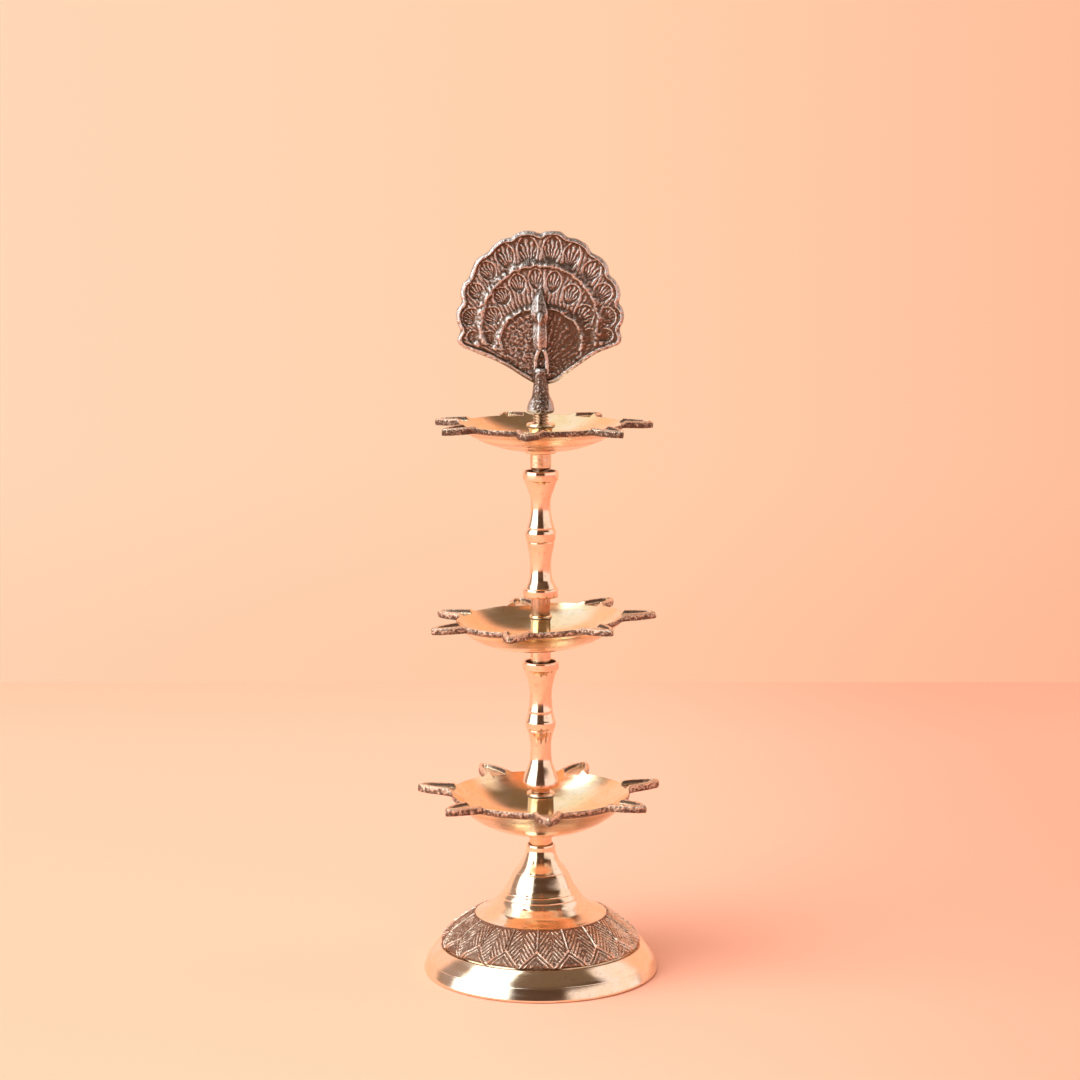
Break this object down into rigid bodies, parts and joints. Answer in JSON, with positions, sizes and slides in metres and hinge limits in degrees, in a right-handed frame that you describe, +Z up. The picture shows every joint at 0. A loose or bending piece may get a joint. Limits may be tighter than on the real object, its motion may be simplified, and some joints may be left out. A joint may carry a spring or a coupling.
{
  "type": "standing oil lamp",
  "caption": "Turned brass standing oil lamp: hollow round foot, baluster stems, spouted dishes for cotton wicks and a fanned peacock finial, screwed together on threaded studs.",
  "frame": {"origin": "centre of the foot's underside, on the lamp's vertical axis", "axes": "+Z up along the axis of the studs, -Y towards the front that the peacock faces, +X to the right as the front is looked at"},
  "size_m": [0.1002, 0.0999, 0.3047],
  "materials": {
    "foot_brass": "turned and polished, with a rough sand-cast band left dark",
    "dish_brass": "turned and polished bowl with fine lathe rings, rough sand-cast spouts and rim edge left dark",
    "stem_brass": "turned and buffed to a mirror polish",
    "stud_brass": "plain machined thread, dulled",
    "antique_brass": "rough sand-cast relief, darkened in the recesses and worn bright on the edges"
  },
  "bodies": {
    "foot": {"foot": "foot_brass"},
    "foot_stud": {"foot_stud": "stud_brass"},
    "lower_diya": {"lower_diya": "dish_brass"},
    "lower_boss_stud": {"lower_boss_stud": "stud_brass"},
    "lower_stem": {"lower_stem": "stem_brass"},
    "lower_stem_stud": {"lower_stem_stud": "stud_brass"},
    "middle_diya": {"middle_diya": "dish_brass"},
    "middle_boss_stud": {"middle_boss_stud": "stud_brass"},
    "upper_stem": {"upper_stem": "stem_brass"},
    "upper_stem_stud": {"upper_stem_stud": "stud_brass"},
    "upper_diya": {"upper_diya": "dish_brass"},
    "finial_stud": {"finial_stud": "stud_brass"},
    "peacock_finial": {"peacock_finial": "antique_brass"}
  },
  "joints": [
    {"name": "foot_stud_lift", "type": "slide", "parent": "foot", "child": "foot_stud", "axis": [0, 0, 1], "range_m": [0, 0.00705]},
    {"name": "lower_diya_turn", "type": "hinge", "parent": "foot_stud", "child": "lower_diya", "pos_m": [0, 0, 0.0512], "axis": [0, 0, 1], "range_deg": [0, 2000]},
    {"name": "lower_boss_stud_lift", "type": "slide", "parent": "lower_diya", "child": "lower_boss_stud", "axis": [0, 0, 1], "range_m": [0, 0.00705]},
    {"name": "lower_stem_turn", "type": "hinge", "parent": "lower_boss_stud", "child": "lower_stem", "pos_m": [0, 0, 0.0777], "axis": [0, 0, 1], "range_deg": [0, 2000]},
    {"name": "lower_stem_stud_lift", "type": "slide", "parent": "lower_stem", "child": "lower_stem_stud", "axis": [0, 0, 1], "range_m": [0, 0.00705]},
    {"name": "middle_diya_turn", "type": "hinge", "parent": "lower_stem_stud", "child": "middle_diya", "pos_m": [0, 0, 0.1275], "axis": [0, 0, 1], "range_deg": [0, 2000]},
    {"name": "middle_boss_stud_lift", "type": "slide", "parent": "middle_diya", "child": "middle_boss_stud", "axis": [0, 0, 1], "range_m": [0, 0.00705]},
    {"name": "upper_stem_turn", "type": "hinge", "parent": "middle_boss_stud", "child": "upper_stem", "pos_m": [0, 0, 0.1567], "axis": [0, 0, 1], "range_deg": [0, 2000]},
    {"name": "upper_stem_stud_lift", "type": "slide", "parent": "upper_stem", "child": "upper_stem_stud", "axis": [0, 0, 1], "range_m": [0, 0.00705]},
    {"name": "upper_diya_turn", "type": "hinge", "parent": "upper_stem_stud", "child": "upper_diya", "pos_m": [0, 0, 0.2095], "axis": [0, 0, 1], "range_deg": [0, 2000]},
    {"name": "finial_stud_lift", "type": "slide", "parent": "upper_diya", "child": "finial_stud", "axis": [0, 0, 1], "range_m": [0, 0.00705]},
    {"name": "finial_turn", "type": "hinge", "parent": "finial_stud", "child": "peacock_finial", "pos_m": [0, 0, 0.232], "axis": [0, 0, 1], "range_deg": [0, 2000]}
  ],
  "couplings": [
    {"joint": "lower_diya_turn", "follows": "foot_stud_lift", "rad_per_m": 4947.4},
    {"joint": "lower_stem_turn", "follows": "lower_boss_stud_lift", "rad_per_m": 4947.4},
    {"joint": "middle_diya_turn", "follows": "lower_stem_stud_lift", "rad_per_m": 4947.4},
    {"joint": "upper_stem_turn", "follows": "middle_boss_stud_lift", "rad_per_m": 4947.4},
    {"joint": "upper_diya_turn", "follows": "upper_stem_stud_lift", "rad_per_m": 4947.4},
    {"joint": "finial_turn", "follows": "finial_stud_lift", "rad_per_m": 4947.4}
  ]
}
